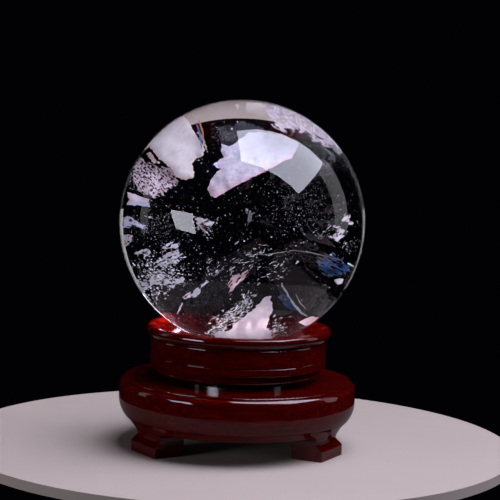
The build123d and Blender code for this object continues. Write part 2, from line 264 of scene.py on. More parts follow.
def makeGatheredLight():
    for i in range(gathered["count"]):
        angle = 2 * math.pi * i / gathered["count"]
        data = bpy.data.lights.new("gathered%d" % i, "POINT")
        data.shadow_soft_size = gathered["size"]
        towards = math.cos(angle - math.radians(gathered["brightest"]))
        data.energy = gathered["power"] * (1 + gathered["swing"] * towards)
        data.color = gathered["colour"]
        obj = bpy.data.objects.new(data.name, data)
        bpy.context.scene.collection.objects.link(obj)
        reach = gathered["radius"]
        obj.location = (reach * math.cos(angle), reach * math.sin(angle), gathered["height"])
        obj.visible_camera = False
        obj.visible_glossy = False
        obj.visible_transmission = False


def makeRoom():
    scene = bpy.context.scene
    scene.view_settings.view_transform = "Standard"
    world = bpy.data.worlds.new("studio")
    scene.world = world
    world.use_nodes = True
    background = next(n for n in world.node_tree.nodes if n.type == "BACKGROUND")
    background.inputs["Color"].default_value = (*stage["room"], 1)
    background.inputs["Strength"].default_value = 1.0


makeRoom()
makeFloor()
for lamp in lamps:
    makeLamp(lamp)
makeGatheredLight()
print("stage set")


lacquer = {
    "dark": (0.036, 0.0002, 0.0003),
    "body": (0.052, 0.0005, 0.0005),
    "warm": (0.084, 0.0028, 0.0006),
    "grainScale": 55,
    "coatRoughness": 0.06,
}


def lacqueredWood():
    mat, tree, shader = newMaterial("oxbloodLacquer")
    along = mapped(tree, (1.0, 9.0, 9.0))
    grain = noiseOn(tree, along, lacquer["grainScale"], 6, 0.6, 0.4)
    colour = ramp(tree, grain, [(0.32, lacquer["dark"]), (0.5, lacquer["body"]), (0.72, lacquer["warm"])])
    tree.links.new(colour, shader.inputs["Base Color"])
    pores = noiseOn(tree, mapped(tree, (1.0, 16.0, 16.0)), 160, 2)
    # Rings left by the gouge, level on the walls.
    turning = noiseOn(tree, mapped(tree, (0.0, 0.0, 1.0)), 900, 2)
    ripple = noiseOn(tree, mapped(tree, (1, 1, 1)), 40, 2)
    peel = noiseOn(tree, mapped(tree, (1, 1, 3)), 260, 2)
    rough = ramp(tree, pores, [(0.35, grey(0.28)), (0.7, grey(0.42))])
    tree.links.new(rough, shader.inputs["Roughness"])
    lines = bumpFrom(tree, [(turning, 0.50), (ripple, 0.30), (peel, 0.14)], 0.10 * mm)
    tree.links.new(lines, shader.inputs["Coat Normal"])
    tree.links.new(bumpFrom(tree, [(pores, 0.2)], 0.05 * mm), shader.inputs["Normal"])
    shader.inputs["Coat Weight"].default_value = 1.0
    shader.inputs["Coat Roughness"].default_value = lacquer["coatRoughness"]
    shader.inputs["Coat IOR"].default_value = 1.55
    shader.inputs["Specular IOR Level"].default_value = 0.0
    return mat


def metal(name, colour, roughness, scale, stretch=(1, 1, 1)):
    mat, tree, shader = newMaterial(name)
    marks = noiseOn(tree, mapped(tree, stretch), scale, 4)
    tint = ramp(tree, marks, [(0.3, [c * 0.86 for c in colour]), (0.7, colour)])
    tree.links.new(tint, shader.inputs["Base Color"])
    rough = ramp(tree, marks, [(0.3, grey(roughness * 0.7)), (0.75, grey(roughness * 1.4))])
    tree.links.new(rough, shader.inputs["Roughness"])
    tree.links.new(bumpFrom(tree, [(marks, 0.15)], 0.03 * mm), shader.inputs["Normal"])
    shader.inputs["Metallic"].default_value = 1.0
    return mat


def plainSolid(name, dark, light, scale, stretch, roughness):
    mat, tree, shader = newMaterial(name)
    marks = noiseOn(tree, mapped(tree, stretch), scale, 5)
    tree.links.new(ramp(tree, marks, [(0.3, dark), (0.7, light)]), shader.inputs["Base Color"])
    tree.links.new(bumpFrom(tree, [(marks, 0.3)], 0.05 * mm), shader.inputs["Normal"])
    rough = ramp(tree, marks, [(0.3, grey(roughness * 0.85)), (0.7, grey(roughness))])
    tree.links.new(rough, shader.inputs["Roughness"])
    return mat


finishes = {
    "red_lacquered_rosewood": lacqueredWood(),
    "zinc_plated_steel": metal("zincPlate", (0.60, 0.60, 0.58), 0.30, 300, (1, 1, 6)),
    "bearing_steel": metal("groundSteel", (0.62, 0.63, 0.65), 0.14, 400, (1, 1, 8)),
    "bronze": metal("sinteredBronze", (0.48, 0.28, 0.11), 0.42, 900),
    "cage_brass": metal("turnedBrass", (0.68, 0.48, 0.18), 0.25, 350, (1, 1, 8)),
    "dowel_wood": plainSolid("bareBeech", (0.42, 0.26, 0.12), (0.60, 0.42, 0.24), 90, (6, 6, 1), 0.65),
    "nylon": plainSolid("nylon", (0.62, 0.64, 0.60), (0.72, 0.73, 0.70), 200, (1, 1, 1), 0.45),
}
for part in frame["record"]["subparts"]:
    finish = finishes.get(part["material_slot"])
    if finish:
        cadNode = nodes[part["node"]]
        cadNode.data.materials.clear()
        cadNode.data.materials.append(finish)
print("stand finished")


ball = {
    "ior": 1.544,
    "cuts": 79,          # on each face of the cube that becomes the ball
    "shadow": 0.90,      # share of lamp light that goes straight through
}


def clearQuartz():
    mat, tree, shader = newMaterial("clearQuartz")
    shader.inputs["Base Color"].default_value = (1, 1, 1, 1)
    shader.inputs["Roughness"].default_value = 0.0
    shader.inputs["IOR"].default_value = ball["ior"]
    shader.inputs["Transmission Weight"].default_value = 1.0
    path = node(tree, "ShaderNodeLightPath")
    through = node(tree, "ShaderNodeBsdfTransparent")
    through.inputs["Color"].default_value = (*grey(ball["shadow"]), 1)
    mix = node(tree, "ShaderNodeMixShader")
    out = next(n for n in tree.nodes if n.type == "OUTPUT_MATERIAL")
    tree.links.new(path.outputs["Is Shadow Ray"], mix.inputs["Fac"])
    tree.links.new(shader.outputs["BSDF"], mix.inputs[1])
    tree.links.new(through.outputs["BSDF"], mix.inputs[2])
    tree.links.new(mix.outputs["Shader"], out.inputs["Surface"])
    return mat


def makeBall():
    deselectAll()
    bpy.ops.mesh.primitive_cube_add(size=2 * ballRadius, location=ballCentre)
    obj = bpy.context.object
    obj.name = "polishedBall"
    bpy.ops.object.mode_set(mode="EDIT")
    bpy.ops.mesh.select_all(action="SELECT")
    bpy.ops.mesh.subdivide(number_cuts=ball["cuts"])
    bpy.ops.transform.tosphere(value=1.0)
    bpy.ops.object.mode_set(mode="OBJECT")
    for vertex in obj.data.vertices:  # to the exact radius
        vertex.co = vertex.co.normalized() * ballRadius
    bpy.ops.object.transform_apply(location=True, rotation=True, scale=True)
    bpy.ops.object.shade_smooth()
    obj.data.materials.append(clearQuartz())
    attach(obj, "ball")
    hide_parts("crystal_ball")
    return obj


makeBall()
print("ball made")


# Inside the ball are healed fractures, flakes and specks.
# A place is given as it is seen from the front through the curved surface: millimetres right of and
# above the ball's centre, and the depth under the surface. The ray is bent as it enters the ball.

def inBall(across, up, depth):
    reach = math.hypot(across, up)
    most = 0.985 * ballRadius / mm
    if reach > most:
        across, up = across * most / reach, up * most / reach
    towards = math.sqrt((ballRadius / mm) ** 2 - across ** 2 - up ** 2)
    surface = (seenRight * across + seenUp * up + toCamera * towards) * mm
    normal = surface.normalized()
    slow = 1 / ball["ior"]
    cosIn = normal.dot(toCamera)
    cosOut = math.sqrt(1 - slow ** 2 * (1 - cosIn ** 2))
    bent = (-toCamera * slow + normal * (slow * cosIn - cosOut)).normalized()
    longest = 2 * (ballRadius / mm) * cosOut - 1.5
    return ballCentre + surface + bent * min(max(depth, 0.8), longest) * mm


def isInside(point, outline):
    x, y = point
    inside = False
    for i, (x1, y1) in enumerate(outline):
        x2, y2 = outline[i - 1]
        if (y1 > y) != (y2 > y) and x < x1 + (y - y1) * (x2 - x1) / (y2 - y1):
            inside = not inside
    return inside


def streaky(x, y, turn, stretch, scale, seed):  # noise stretched along a direction
    c, s = math.cos(math.radians(turn)), math.sin(math.radians(turn))
    u, v = (x * c + y * s) / stretch, (y * c - x * s)
    return noise.fractal(Vector((u * scale, v * scale, seed)), 0.8, 2.2, 4)


def nearestEdge(x, y, outline):  # distance to the outline, and the direction out through it
    best = (1e9, 0, 0)
    for i, (x1, y1) in enumerate(outline):
        x2, y2 = outline[i - 1]
        dx, dy = x2 - x1, y2 - y1
        share = ((x - x1) * dx + (y - y1) * dy) / max(dx * dx + dy * dy, 1e-9)
        share = min(max(share, 0), 1)
        gapX, gapY = x1 + share * dx - x, y1 + share * dy - y
        gap = math.hypot(gapX, gapY)
        if gap < best[0]:
            best = (gap, gapX / max(gap, 1e-6), gapY / max(gap, 1e-6))
    return best


def blendColours(colours, share):
    place = min(max(share, 0), 0.9999) * (len(colours) - 1)
    first = int(place)
    return [a + (b - a) * (place - first) for a, b in zip(colours[first], colours[first + 1])]


def tintAt(x, y, height, look):
    colour = blendColours(look["tones"], height)
    mottle = 1 + look.get("mottle", 0.12) * streaky(x, y, look.get("turn", 30), 2.0, 1.4, look["seed"] + 60)
    colour = [c * mottle for c in colour]
    # Painted light and shade: each of these rims tints the sheet's edges that face one side, brighter where
    # light is painted, darker where shade is painted.
    for paintedEdgeRim in look.get("paintedEdgeRims", []):
        gap, outX, outY = nearestEdge(x, y, look["outline"])
        lit = math.radians(paintedEdgeRim["side"])
        towards = outX * math.cos(lit) + outY * math.sin(lit)
        if towards > 0.35 and gap < paintedEdgeRim["width"]:
            edge = blendColours(paintedEdgeRim["colours"], gap / paintedEdgeRim["width"])
            share = 1 - (gap / paintedEdgeRim["width"]) ** 2
            colour = [c + (e - c) * share for c, e in zip(colour, edge)]
    return (*[max(c, 0) for c in colour], 1)


sheetForm = {
    "wave": 1.6,              # how far a sheet bows at most, in millimetres
    "jitter": 0.4,            # at most this share of a cell
    "thickness": 0.08 * mm,
    "stretch": 3.0,           # of the streaks that tear it, where a sheet says nothing else
    "scale": 0.9,             # of the same streaks
}


def makeSheet(name, look, material):
    outline = look["outline"]
    cell = look.get("cell", 0.3)
    ragged = look.get("ragged", 0.6)
    tear = look.get("tear", 0.0)
    stretch = look.get("stretch", sheetForm["stretch"])
    scale = look.get("scale", sheetForm["scale"])
    turn = look.get("turn", 30)
    seed = look["seed"]
    near, lean, side = look["depth"]  # depth at the middle, and how it grows upwards and to the right
    left = min(x for x, y in outline) - ragged
    right = max(x for x, y in outline) + ragged
    low = min(y for x, y in outline) - ragged
    high = max(y for x, y in outline) + ragged
    midX, midY = (left + right) / 2, (low + high) / 2
    columns, rows = int((right - left) / cell) + 1, int((high - low) / cell) + 1
    mesh = bmesh.new()
    tint = mesh.verts.layers.float_color.new("tint")
    corners = {}

    def corner(i, j):
        if (i, j) not in corners:
            x, y = left + i * cell, low + j * cell
            bow = noise.noise(Vector((x * 0.25, y * 0.25, seed * 3.1)))
            wave = bow * look.get("wave", sheetForm["wave"])
            depth = near + lean * (y - midY) + side * (x - midX) + wave
            jitterX = noise.noise(Vector((x * 5, y * 5, seed))) * cell * sheetForm["jitter"]
            jitterY = noise.noise(Vector((x * 5, y * 5, seed + 9))) * cell * sheetForm["jitter"]
            made = mesh.verts.new(inBall(x + jitterX, y + jitterY, depth))
            made[tint] = tintAt(x, y, (y - low) / (high - low), look)
            corners[i, j] = made
        return corners[i, j]

    for i in range(columns):
        for j in range(rows):
            x, y = left + (i + 0.5) * cell, low + (j + 0.5) * cell
            warpX = streaky(x, y, turn, 2.5, 0.9, seed) * ragged
            warpY = streaky(x, y, turn, 2.5, 0.9, seed + 20) * ragged
            if not isInside((x + warpX, y + warpY), outline):
                continue
            if tear and streaky(x, y, turn, stretch, scale, seed + 40) > 0.9 - tear:
                continue
            mesh.faces.new((corner(i, j), corner(i + 1, j), corner(i + 1, j + 1), corner(i, j + 1)))
    data = bpy.data.meshes.new(name)
    mesh.to_mesh(data)
    mesh.free()
    obj = bpy.data.objects.new(name, data)
    bpy.context.scene.collection.objects.link(obj)
    data.materials.append(material)
    makeActive(obj)
    bpy.ops.object.mode_set(mode="EDIT")
    bpy.ops.mesh.select_all(action="SELECT")
    bpy.ops.mesh.vertices_smooth(factor=0.5, repeat=2)
    bpy.ops.object.mode_set(mode="OBJECT")
    thick = obj.modifiers.new("thickness", "SOLIDIFY")
    thick.thickness = sheetForm["thickness"]
    thick.offset = 0
    bpy.ops.object.modifier_apply(modifier=thick.name)
    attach(obj, "ball")
    return obj


fleckForm = {
    "corners": 6,
    "reach": 48.5,            # none is seen further from the middle, in millimetres
    "bulge": 0.06,            # half of its thickness in the middle, in millimetres
}


def makeFlecks(name, clusters, material):
    mesh = bmesh.new()
    tint = mesh.verts.layers.float_color.new("tint")
    for cluster in clusters:
        chance = random.Random(cluster["seed"])
        (midX, midY), (wide, tall) = cluster["at"], cluster["spread"]
        turn = math.radians(cluster.get("turn", 0))
        small, large = cluster["size"]
        shallow, deep = cluster["depth"]
        for _ in range(cluster["count"]):
            u, v = chance.gauss(0, 0.5) * wide, chance.gauss(0, 0.5) * tall
            x = midX + u * math.cos(turn) - v * math.sin(turn)
            y = midY + u * math.sin(turn) + v * math.cos(turn)
            if math.hypot(x, y) > fleckForm["reach"]:
                continue
            centre = inBall(x, y, chance.uniform(shallow, deep))
            size = small + (large - small) * chance.random() ** 2
            lay = turn + math.radians(chance.gauss(0, cluster.get("wander", 25)))
            long = (seenRight * math.cos(lay) + seenUp * math.sin(lay)).normalized()
            upwards = seenUp * chance.uniform(0.3, 1.3)
            sideways = seenRight * chance.uniform(-0.3, 0.7)
            tilt = (toCamera + upwards + sideways).normalized()
            cross = tilt.cross(long).normalized()
            slim = cluster.get("slim", 0.5) * chance.uniform(0.6, 1.4)
            shade = chance.uniform(*cluster.get("shade", (0.3, 0.8)))
            colour = (*[c * shade for c in cluster.get("tone", (1, 0.95, 1))], 1)
            count = fleckForm["corners"]
            ring = []
            for k in range(count):
                angle = 2 * math.pi * k / count
                reach = size * 0.5 * chance.uniform(0.6, 1.25) * mm
                offset = long * math.cos(angle) * reach + cross * math.sin(angle) * reach * slim
                ring.append(mesh.verts.new(centre + offset))
            front = mesh.verts.new(centre + tilt * fleckForm["bulge"] * mm)
            back = mesh.verts.new(centre - tilt * fleckForm["bulge"] * mm)
            for vertex in (*ring, front, back):
                vertex[tint] = colour
            for k in range(count):
                mesh.faces.new((ring[k - 1], ring[k], front))
                mesh.faces.new((ring[k], ring[k - 1], back))
    data = bpy.data.meshes.new(name)
    mesh.to_mesh(data)
    mesh.free()
    obj = bpy.data.objects.new(name, data)
    bpy.context.scene.collection.objects.link(obj)
    data.materials.append(material)
    makeActive(obj)
    bpy.ops.object.mode_set(mode="EDIT")
    bpy.ops.mesh.select_all(action="SELECT")
    bpy.ops.mesh.normals_make_consistent(inside=False)
    bpy.ops.object.mode_set(mode="OBJECT")
    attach(obj, "ball")
    return obj


def veilMaterial(name, scale, depth, roughness, bump):  # the piece's own tint, clouded
    mat, tree, shader = newMaterial(name)
    own = node(tree, "ShaderNodeAttribute", attribute_name="tint")
    clouds = noiseOn(tree, mapped(tree, (1, 1, 1)), scale, 6, 0.65)
    shade = ramp(tree, clouds, [(0.34, grey(1 - depth)), (0.62, grey(1.0))])
    mixed = node(tree, "ShaderNodeMix", data_type="RGBA", blend_type="MULTIPLY")
    mixed.inputs["Factor"].default_value = 1.0
    tree.links.new(own.outputs["Color"], mixed.inputs[6])
    tree.links.new(shade, mixed.inputs[7])
    tree.links.new(mixed.outputs[2], shader.inputs["Base Color"])
    rough = ramp(tree, clouds, [(0.3, grey(roughness * 0.6)), (0.7, grey(roughness))])
    tree.links.new(rough, shader.inputs["Roughness"])
    tree.links.new(bumpFrom(tree, [(clouds, bump)], 0.2 * mm), shader.inputs["Normal"])
    return mat


veil = veilMaterial("healedVeil", 420, 0.30, 0.6, 0.5)
smoothVeil = veilMaterial("smoothVeil", 160, 0.08, 0.4, 0.06)

white = (0.62, 0.58, 0.66)
lilac = (0.40, 0.38, 0.56)
rose = (0.56, 0.40, 0.47)
palePink = (0.60, 0.52, 0.60)
amber = (0.62, 0.36, 0.12)
paleBlue = (0.42, 0.50, 0.74)
greyGreen = (0.36, 0.52, 0.46)


def band(points, width):  # an outline along a line, thickest in the middle
    sides = ([], [])
    for i, (x, y) in enumerate(points):
        x1, y1 = points[max(i - 1, 0)]
        x2, y2 = points[min(i + 1, len(points) - 1)]
        length = math.hypot(x2 - x1, y2 - y1)
        half = width / 2 * (0.35 + 0.65 * math.sin(math.pi * (i + 0.5) / len(points)))
        sides[0].append((x - (y2 - y1) / length * half, y + (x2 - x1) / length * half))
        sides[1].append((x + (y2 - y1) / length * half, y - (x2 - x1) / length * half))
    return sides[0] + sides[1][::-1]


# Painted light and shade: the edge rims given for some sheets below brighten or darken their edges on one
# side.
sheets = {
    "highVeil": (veil, {
        "outline": [(-8.2, 31.2), (-5.2, 29.7), (-2.2, 31.5), (-0.9, 32.9), (2.5, 35.6), (9.2, 35.6),
                    (15.9, 34.9), (22.3, 31.5), (21.3, 28.2), (19.3, 25.1), (15.9, 23.8), (10.9, 20.8),
                    (4.8, 17.7), (-1.2, 14.7), (-6.2, 11.7), (-10.6, 9.3), (-12, 10.3), (-13.5, 12.7),
                    (-12.9, 15), (-11.3, 18.1), (-8.2, 20.8), (-9.9, 21.8), (-9.9, 23.1), (-8.2, 25.1),
                    (-7.2, 25.5), (-8.2, 27.5)],
        "tones": [(0.38, 0.24, 0.29), (0.33, 0.29, 0.35), (0.33, 0.32, 0.38), (0.34, 0.33, 0.40)],
        "paintedEdgeRims": [{"side": -100, "width": 1.8, "colours": [(0.40, 0.20, 0.27), (0.34, 0.26, 0.32)]}],
        "depth": (12, 0.6, 0.1), "seed": 3, "ragged": 0.45, "mottle": 0.2}),
    "highVeilBump": (smoothVeil, {
        "outline": [(-8.6, 20.8), (-10.4, 21.4), (-11.2, 22.8), (-10.0, 23.8), (-8.2, 23.4)],
        "tones": [paleBlue, lilac], "depth": (11, 0.6, 0.1), "seed": 4, "ragged": 0.2}),
    "leftGrain": (veil, {
        "outline": [(-43.6, 22.8), (-40.6, 26.8), (-38.6, 24.8), (-35.8, 22.5), (-33.5, 21.4),
                    (-30.1, 22.1), (-28.1, 21.4), (-26.1, 18.7), (-25.6, 16), (-26.1, 13.7),
                    (-28.5, 12.3), (-31.5, 10.3), (-34.2, 10), (-37.2, 10.6), (-40.2, 11.7),
                    (-41.9, 14), (-43.3, 16), (-43.9, 18.7)],
        "tones": [(0.62, 0.48, 0.56), (0.72, 0.56, 0.66), (0.62, 0.50, 0.58)], "cell": 0.2,
        "depth": (8, 0.6, 0.0), "seed": 5, "ragged": 1.5, "tear": 0.74, "turn": -40, "stretch": 2.2,
        "scale": 1.9}),
    "leftMilk": (smoothVeil, {
        "outline": [(-40.2, 28.5), (-36.5, 33), (-31, 38.2), (-23.7, 43), (-20.4, 39), (-18, 34.2),
                    (-16, 31.5), (-14.6, 28.2), (-15.3, 25.8), (-17.7, 25.1), (-19.4, 22.5),
                    (-18.5, 19.7), (-18.9, 17.1), (-21.4, 16.4), (-23.7, 16.7), (-25.8, 17.7),
                    (-27.1, 20.1), (-29.8, 22.8), (-32.8, 24.8), (-35.5, 28.5), (-37.2, 30.2)],
        "tones": [(0.52, 0.47, 0.46), (0.46, 0.42, 0.43), (0.36, 0.32, 0.32)],
        "paintedEdgeRims": [{"side": 0, "width": 2.4, "colours": [(0.50, 0.42, 0.34), (0.40, 0.38, 0.50)]},
                    {"side": 225, "width": 3.0, "colours": [(0.30, 0.22, 0.17), (0.38, 0.34, 0.46)]}],
        "depth": (9, 0.5, 0.1), "seed": 7, "ragged": 0.4, "mottle": 0.08, "wave": 0.5}),
    "milkStripe": (smoothVeil, {
        "outline": [(-38.4, 27.6), (-36.9, 28.4), (-33.4, 23.9), (-34.9, 22.8)],
        "tones": [(0.44, 0.31, 0.24), (0.30, 0.18, 0.24)], "depth": (7, 0.5, 0.1), "seed": 71,
        "ragged": 0.5}),
    # Painted rainbow light: the orange and blue bands and the muted band beside them stand in for light
    # split into colours in the ball, painted as colour on thin sheets.
    "paintedPrismFlame": (smoothVeil, {
        "outline": band([(-17.2, 40.2), (-15.9, 36.8), (-15.2, 33.0), (-14.9, 29.5)], 0.9),
        "tones": [(0.20, 0.17, 0.16), (0.26, 0.12, 0.05), (0.30, 0.10, 0.03)], "cell": 0.15,
        "depth": (6, 0.4, 0.1), "seed": 72, "ragged": 0.3, "tear": 0.3, "turn": 100, "stretch": 5}),
    "paintedPrismBlue": (smoothVeil, {
        "outline": band([(-18.3, 39.6), (-16.9, 36.0), (-16.2, 32.4), (-15.7, 28.4)], 0.8),
        "tones": [(0.20, 0.20, 0.30), (0.05, 0.08, 0.26), (0.02, 0.03, 0.12)], "cell": 0.15,
        "depth": (6, 0.4, 0.1), "seed": 76, "ragged": 0.3, "tear": 0.3, "turn": 100, "stretch": 5}),
    "paintedPrismEdge": (smoothVeil, {
        "outline": band([(-17.6, 35.6), (-15.9, 33.6), (-14.8, 30.8), (-13.9, 28.2)], 1.1),
        "tones": [(0.30, 0.24, 0.16), (0.22, 0.24, 0.20), (0.30, 0.22, 0.14)], "cell": 0.2,
        "depth": (8, 0.5, 0.1), "seed": 73, "ragged": 0.4, "tear": 0.55}),
    "leftFin": (smoothVeil, {
        "outline": [(-46.1, 12.3), (-41.5, 10.9), (-36.2, 9), (-36.5, 8), (-35.8, 5.9), (-40.2, 6.6),
                    (-46.1, 6.9), (-45.1, 9)],
        "tones": [(0.44, 0.54, 0.78), (0.66, 0.56, 0.66), (0.62, 0.48, 0.56)],
        "paintedEdgeRims": [{"side": 180, "width": 0.9, "colours": [(0.45, 0.32, 0.2), palePink]}, {"side": 0,
                    "width": 0.8, "colours": [(0.5, 0.38, 0.22), white]}],
        "depth": (5, 0.5, 0.0), "seed": 8, "ragged": 0.25}),
    "leftWing": (smoothVeil, {
        "outline": [(-47.6, 1.6), (-44.3, 2.6), (-40.6, 0.2), (-37.2, -1.7), (-38.9, -2.4),
                    (-43.6, -1.1), (-44.9, -2.1), (-47.6, -2.2)],
        "tones": [(0.48, 0.44, 0.60), (0.62, 0.62, 0.80)], "depth": (5, 0.5, 0.0), "cell": 0.2,
        "seed": 9, "ragged": 0.8, "tear": 0.55, "turn": -10, "scale": 1.2}),
    "leftWingLow": (veil, {
        "outline": [(-47.6, -5.4), (-45.6, -4.8), (-43.3, -4.8), (-43.6, -6.8), (-44.6, -8.8),
                    (-46.7, -9.5), (-47.5, -7.8)],
        "tones": [rose, palePink], "depth": (5, 0.5, 0.0), "cell": 0.2, "seed": 10, "ragged": 0.8,
        "tear": 0.55}),
    "leftFlakeA": (veil, {
        "outline": [(-42.6, -12.8), (-41.2, -10.5), (-38.9, -10.3), (-35.8, -11.2), (-35.5, -12.8),
                    (-37.5, -13.4), (-39.9, -12.3), (-41.6, -12.8)],
        "tones": [white, white], "cell": 0.2, "depth": (6, 0.5, 0.0), "seed": 11, "ragged": 0.7,
        "tear": 0.74, "scale": 1.5}),
    "leftFlakeB": (veil, {
        "outline": [(-31.8, -10.1), (-29.8, -8.8), (-28.1, -7.8), (-24.2, -7.8), (-24.8, -10.1),
                    (-28.1, -10.1), (-30.1, -10.6)],
        "tones": [white, white], "cell": 0.2, "depth": (7, 0.5, 0.0), "seed": 12, "ragged": 0.6,
        "tear": 0.68, "scale": 1.5}),
    "leftFlakeC": (veil, {
        "outline": [(-34.8, -16.5), (-32.1, -13.9), (-28.8, -11.5), (-25.1, -10.5), (-23.7, -12.5),
                    (-25.1, -13.9), (-24.4, -14.9), (-25.4, -15.7), (-30.1, -16.9), (-32.8, -16.9)],
        "tones": [white, palePink], "cell": 0.2, "depth": (8, 0.5, 0.0), "seed": 13, "ragged": 0.7,
        "tear": 0.66, "scale": 1.5, "turn": 20}),
    "leftFlakeD": (veil, {
        "outline": [(-43.3, -22.6), (-37.5, -22.6), (-33.5, -20.6), (-30.1, -20.6), (-28.1, -22.3),
                    (-23.1, -20.9), (-21.7, -24), (-25.1, -24.3), (-28.1, -26.3), (-30.1, -24.6),
                    (-34.2, -24.3), (-36.5, -25.6), (-38.9, -27.3), (-40.6, -27.7)],
        "tones": [white, white], "cell": 0.2, "depth": (7, 0.5, 0.0), "seed": 14, "ragged": 0.8,
        "tear": 0.68, "scale": 1.5, "turn": 10}),
    "streakA": (veil, {
        "outline": [(-23.7, -29.9), (-22.4, -28.3), (-20, -27), (-20.4, -28.7), (-18, -25.6),
                    (-13.6, -22.3), (-13.3, -22.9), (-16, -26), (-16.7, -27.7), (-18.7, -29.3),
                    (-20.7, -29.5), (-22.7, -30.2)],
        "tones": [white, white], "cell": 0.2, "depth": (9, 0.6, 0.0), "seed": 15, "ragged": 0.7,
        "tear": 0.55, "turn": 45, "stretch": 5, "scale": 1.6}),
    "streakB": (veil, {
        "outline": [(-5.9, -22.6), (-3.9, -20.9), (1.1, -18.9), (2.8, -17.9), (1.8, -19.9),
                    (-0.9, -23.3), (-3.2, -25.6), (-5.5, -28.7), (-4.9, -26)],
        "tones": [(0.60, 0.42, 0.46), (0.58, 0.34, 0.40)], "cell": 0.2, "depth": (10, 0.6, 0.0),
        "seed": 16, "ragged": 0.7, "tear": 0.62, "turn": 52, "stretch": 6, "scale": 1.8}),
    "streakC": (veil, {
        "outline": band([(-25.8, -36.5), (-24.8, -34.2), (-23.6, -31.6)], 0.8),
        "tones": [rose, white], "cell": 0.2, "depth": (7, 0.6, 0.0), "seed": 74, "ragged": 0.3,
        "tear": 0.1}),
    "lowWedge": (smoothVeil, {
        "outline": [(-11.3, -45.3), (-9.6, -43.1), (-5.2, -43.1), (-3.2, -39.4), (1.1, -36.8),
                    (8.5, -29), (10.9, -28.7), (11.2, -30.7), (12, -32.7), (11.6, -35.4), (10.7, -37.1),
                    (10.2, -39.4), (9.2, -41.5), (11.6, -42.8), (11.6, -45.4), (13.6, -46.6),
                    (-0.9, -48.5), (-10, -47)],
        "tones": [(0.48, 0.52, 0.62), (0.56, 0.54, 0.65), (0.60, 0.55, 0.66)], "depth": (7, 0.2, 0.0),
        "seed": 17, "ragged": 0.6, "mottle": 0.05}),
    "rightFlakeA": (smoothVeil, {
        "outline": [(34.8, -1.1), (37.1, -1.1), (38.8, -2.4), (40.2, -3.1), (40.2, -5.4), (37.8, -7.8),
                    (36.5, -7.1), (34.1, -5.4), (35.8, -4.4), (37.8, -3.7), (37.1, -2.4)],
        "tones": [(0.46, 0.37, 0.42), (0.52, 0.44, 0.48)], "cell": 0.15, "depth": (6, 0.5, 0.0),
        "seed": 18, "ragged": 1.2, "tear": 0.55, "scale": 1.8}),
    "rightFlakeB": (veil, {
        "outline": [(38.8, 0.2), (40.5, 2.9), (42.2, 3.2), (42.9, 1.2), (44.5, -0.1), (42.9, -1.1),
                    (41.2, -0.1), (39.7, -0.3)],
        "tones": [(0.46, 0.37, 0.42), (0.44, 0.38, 0.42)], "cell": 0.15, "depth": (4, 0.5, 0.0),
        "seed": 19, "ragged": 1.2, "tear": 0.58, "scale": 1.8}),
    "blueFracture": (smoothVeil, {
        "outline": [(29.1, -13.9), (31.1, -13.2), (33.8, -12.1), (35.8, -12.1), (37.5, -13.5),
                    (40.8, -15.9), (42.2, -18.9), (40.8, -20.9), (37.8, -20.6), (34.5, -21.2),
                    (32.8, -20.6), (30.4, -18.6), (29.1, -15.9)],
        "tones": [(0.005, 0.014, 0.06), (0.005, 0.035, 0.12), (0.03, 0.035, 0.06)],
        "paintedEdgeRims": [{"side": 135, "width": 2.0, "colours": [(0.07, 0.04, 0.025), (0.03, 0.04, 0.07)]},
                    {"side": -45, "width": 1.0, "colours": [(0.06, 0.09, 0.16), (0.01, 0.05, 0.15)]}],
        "depth": (6, 0.5, 0.1), "cell": 0.2, "seed": 23, "ragged": 1.3, "tear": 0.70, "turn": -28,
        "stretch": 6, "scale": 1.1, "mottle": 1.2}),
    "fractureSpot": (smoothVeil, {
        "outline": [(36.5, -22.6), (38.5, -21.9), (40.3, -22.6), (39.8, -24.3), (37.8, -24.6),
                    (36.5, -23.6)],
        "tones": [(0.8, 0.8, 0.86), (0.8, 0.8, 0.86)], "cell": 0.2,
        "paintedEdgeRims": [{"side": 200, "width": 0.9, "colours": [amber, white]}],
        "depth": (5, 0.5, 0.0), "seed": 20, "ragged": 0.25}),
    "greenLine": (smoothVeil, {
        "outline": band([(41.7, -16.0), (43.2, -16.9), (44.8, -17.7)], 0.8),
        "tones": [greyGreen, (0.7, 0.8, 0.8)], "cell": 0.2, "depth": (3, 0.5, 0.0), "seed": 24,
        "ragged": 0.1}),
    "arcLine": (veil, {
        "outline": band([(3, -12.3), (10, -12.2), (20, -10.8), (26, -11.6), (33, -13.2), (40, -15.2)],
                    0.34),
        "tones": [(0.16, 0.15, 0.16), (0.22, 0.20, 0.18)], "cell": 0.15, "depth": (6, 0.3, 0.0),
        "seed": 25, "ragged": 0.1, "tear": 0.3}),
    "fractureLine": (veil, {
        "outline": band([(15.3, -23.6), (17.9, -28.7), (20.7, -32.7), (23.3, -35.7), (26, -37.4)], 0.9),
        "tones": [(0.34, 0.40, 0.46), (0.46, 0.45, 0.46)], "cell": 0.15, "depth": (6, 0.4, 0.0),
        "seed": 26, "ragged": 0.4, "tear": 0.55, "turn": -55, "stretch": 6}),
    "fractureLineB": (veil, {
        "outline": band([(20.7, -27.7), (22.6, -31.4), (25, -34)], 0.55),
        "tones": [(0.34, 0.32, 0.28), (0.26, 0.26, 0.28)], "cell": 0.2, "depth": (6, 0.4, 0.0),
        "seed": 27, "ragged": 0.2, "tear": 0.2}),
    "blueShade": (smoothVeil, {
        "outline": [(13.4, -28.7), (17.2, -27.8), (20, -31.7), (23, -35.6), (20.4, -35.4), (17, -32.8)],
        "tones": [(0.004, 0.016, 0.07), (0.02, 0.05, 0.14)], "depth": (8, 0.4, 0.0), "seed": 28,
        "ragged": 1.0, "tear": 0.5, "turn": -40, "mottle": 0.8}),
    "rightPatch": (smoothVeil, {
